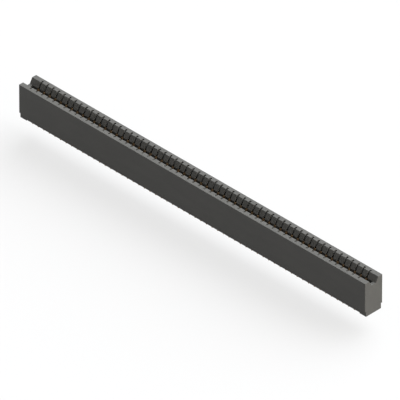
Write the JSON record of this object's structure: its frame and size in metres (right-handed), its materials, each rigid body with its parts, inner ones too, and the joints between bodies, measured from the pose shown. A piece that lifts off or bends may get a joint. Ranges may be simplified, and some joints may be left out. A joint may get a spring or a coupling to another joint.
{
  "type": "card edge connector",
  "caption": "Long moulded connector that takes the edge of a circuit card between two rows of sprung contacts, with tails to solder into a board.",
  "frame": {"origin": "midway along and across the connector, level with the tips of the contact tails that it stands on", "axes": "+X along the card slot, +Y across it, +Z out of the slot, the way the card leaves"},
  "size_m": [0.1556, 0.0076, 0.0143],
  "materials": {
    "housing_plastic": "dark grey glass-filled moulding, faintly grained and matt",
    "contact_metal": "plated copper alloy strip, satin, warm gold-brown"
  },
  "bodies": {
    "root": {"housing": "housing_plastic", "contact_pair_01": "contact_metal", "contact_pair_02": "contact_metal", "contact_pair_03": "contact_metal", "contact_pair_04": "contact_metal", "contact_pair_05": "contact_metal", "contact_pair_06": "contact_metal", "contact_pair_07": "contact_metal", "contact_pair_08": "contact_metal", "contact_pair_09": "contact_metal", "contact_pair_10": "contact_metal", "contact_pair_11": "contact_metal", "contact_pair_12": "contact_metal", "contact_pair_13": "contact_metal", "contact_pair_14": "contact_metal", "contact_pair_15": "contact_metal", "contact_pair_16": "contact_metal", "contact_pair_17": "contact_metal", "contact_pair_18": "contact_metal", "contact_pair_19": "contact_metal", "contact_pair_20": "contact_metal", "contact_pair_21": "contact_metal", "contact_pair_22": "contact_metal", "contact_pair_23": "contact_metal", "contact_pair_24": "contact_metal", "contact_pair_25": "contact_metal", "contact_pair_26": "contact_metal", "contact_pair_27": "contact_metal", "contact_pair_28": "contact_metal", "contact_pair_29": "contact_metal", "contact_pair_30": "contact_metal", "contact_pair_31": "contact_metal", "contact_pair_32": "contact_metal", "contact_pair_33": "contact_metal", "contact_pair_34": "contact_metal", "contact_pair_35": "contact_metal", "contact_pair_36": "contact_metal", "contact_pair_37": "contact_metal", "contact_pair_38": "contact_metal", "contact_pair_39": "contact_metal", "contact_pair_40": "contact_metal", "contact_pair_41": "contact_metal", "contact_pair_42": "contact_metal", "contact_pair_43": "contact_metal", "contact_pair_44": "contact_metal", "contact_pair_45": "contact_metal", "contact_pair_46": "contact_metal", "contact_pair_47": "contact_metal", "contact_pair_48": "contact_metal", "contact_pair_49": "contact_metal", "contact_pair_50": "contact_metal", "contact_pair_51": "contact_metal", "contact_pair_52": "contact_metal", "contact_pair_53": "contact_metal", "contact_pair_54": "contact_metal", "contact_pair_55": "contact_metal", "contact_pair_56": "contact_metal", "contact_pair_57": "contact_metal", "contact_pair_58": "contact_metal", "contact_pair_59": "contact_metal"}
  },
  "joints": []
}
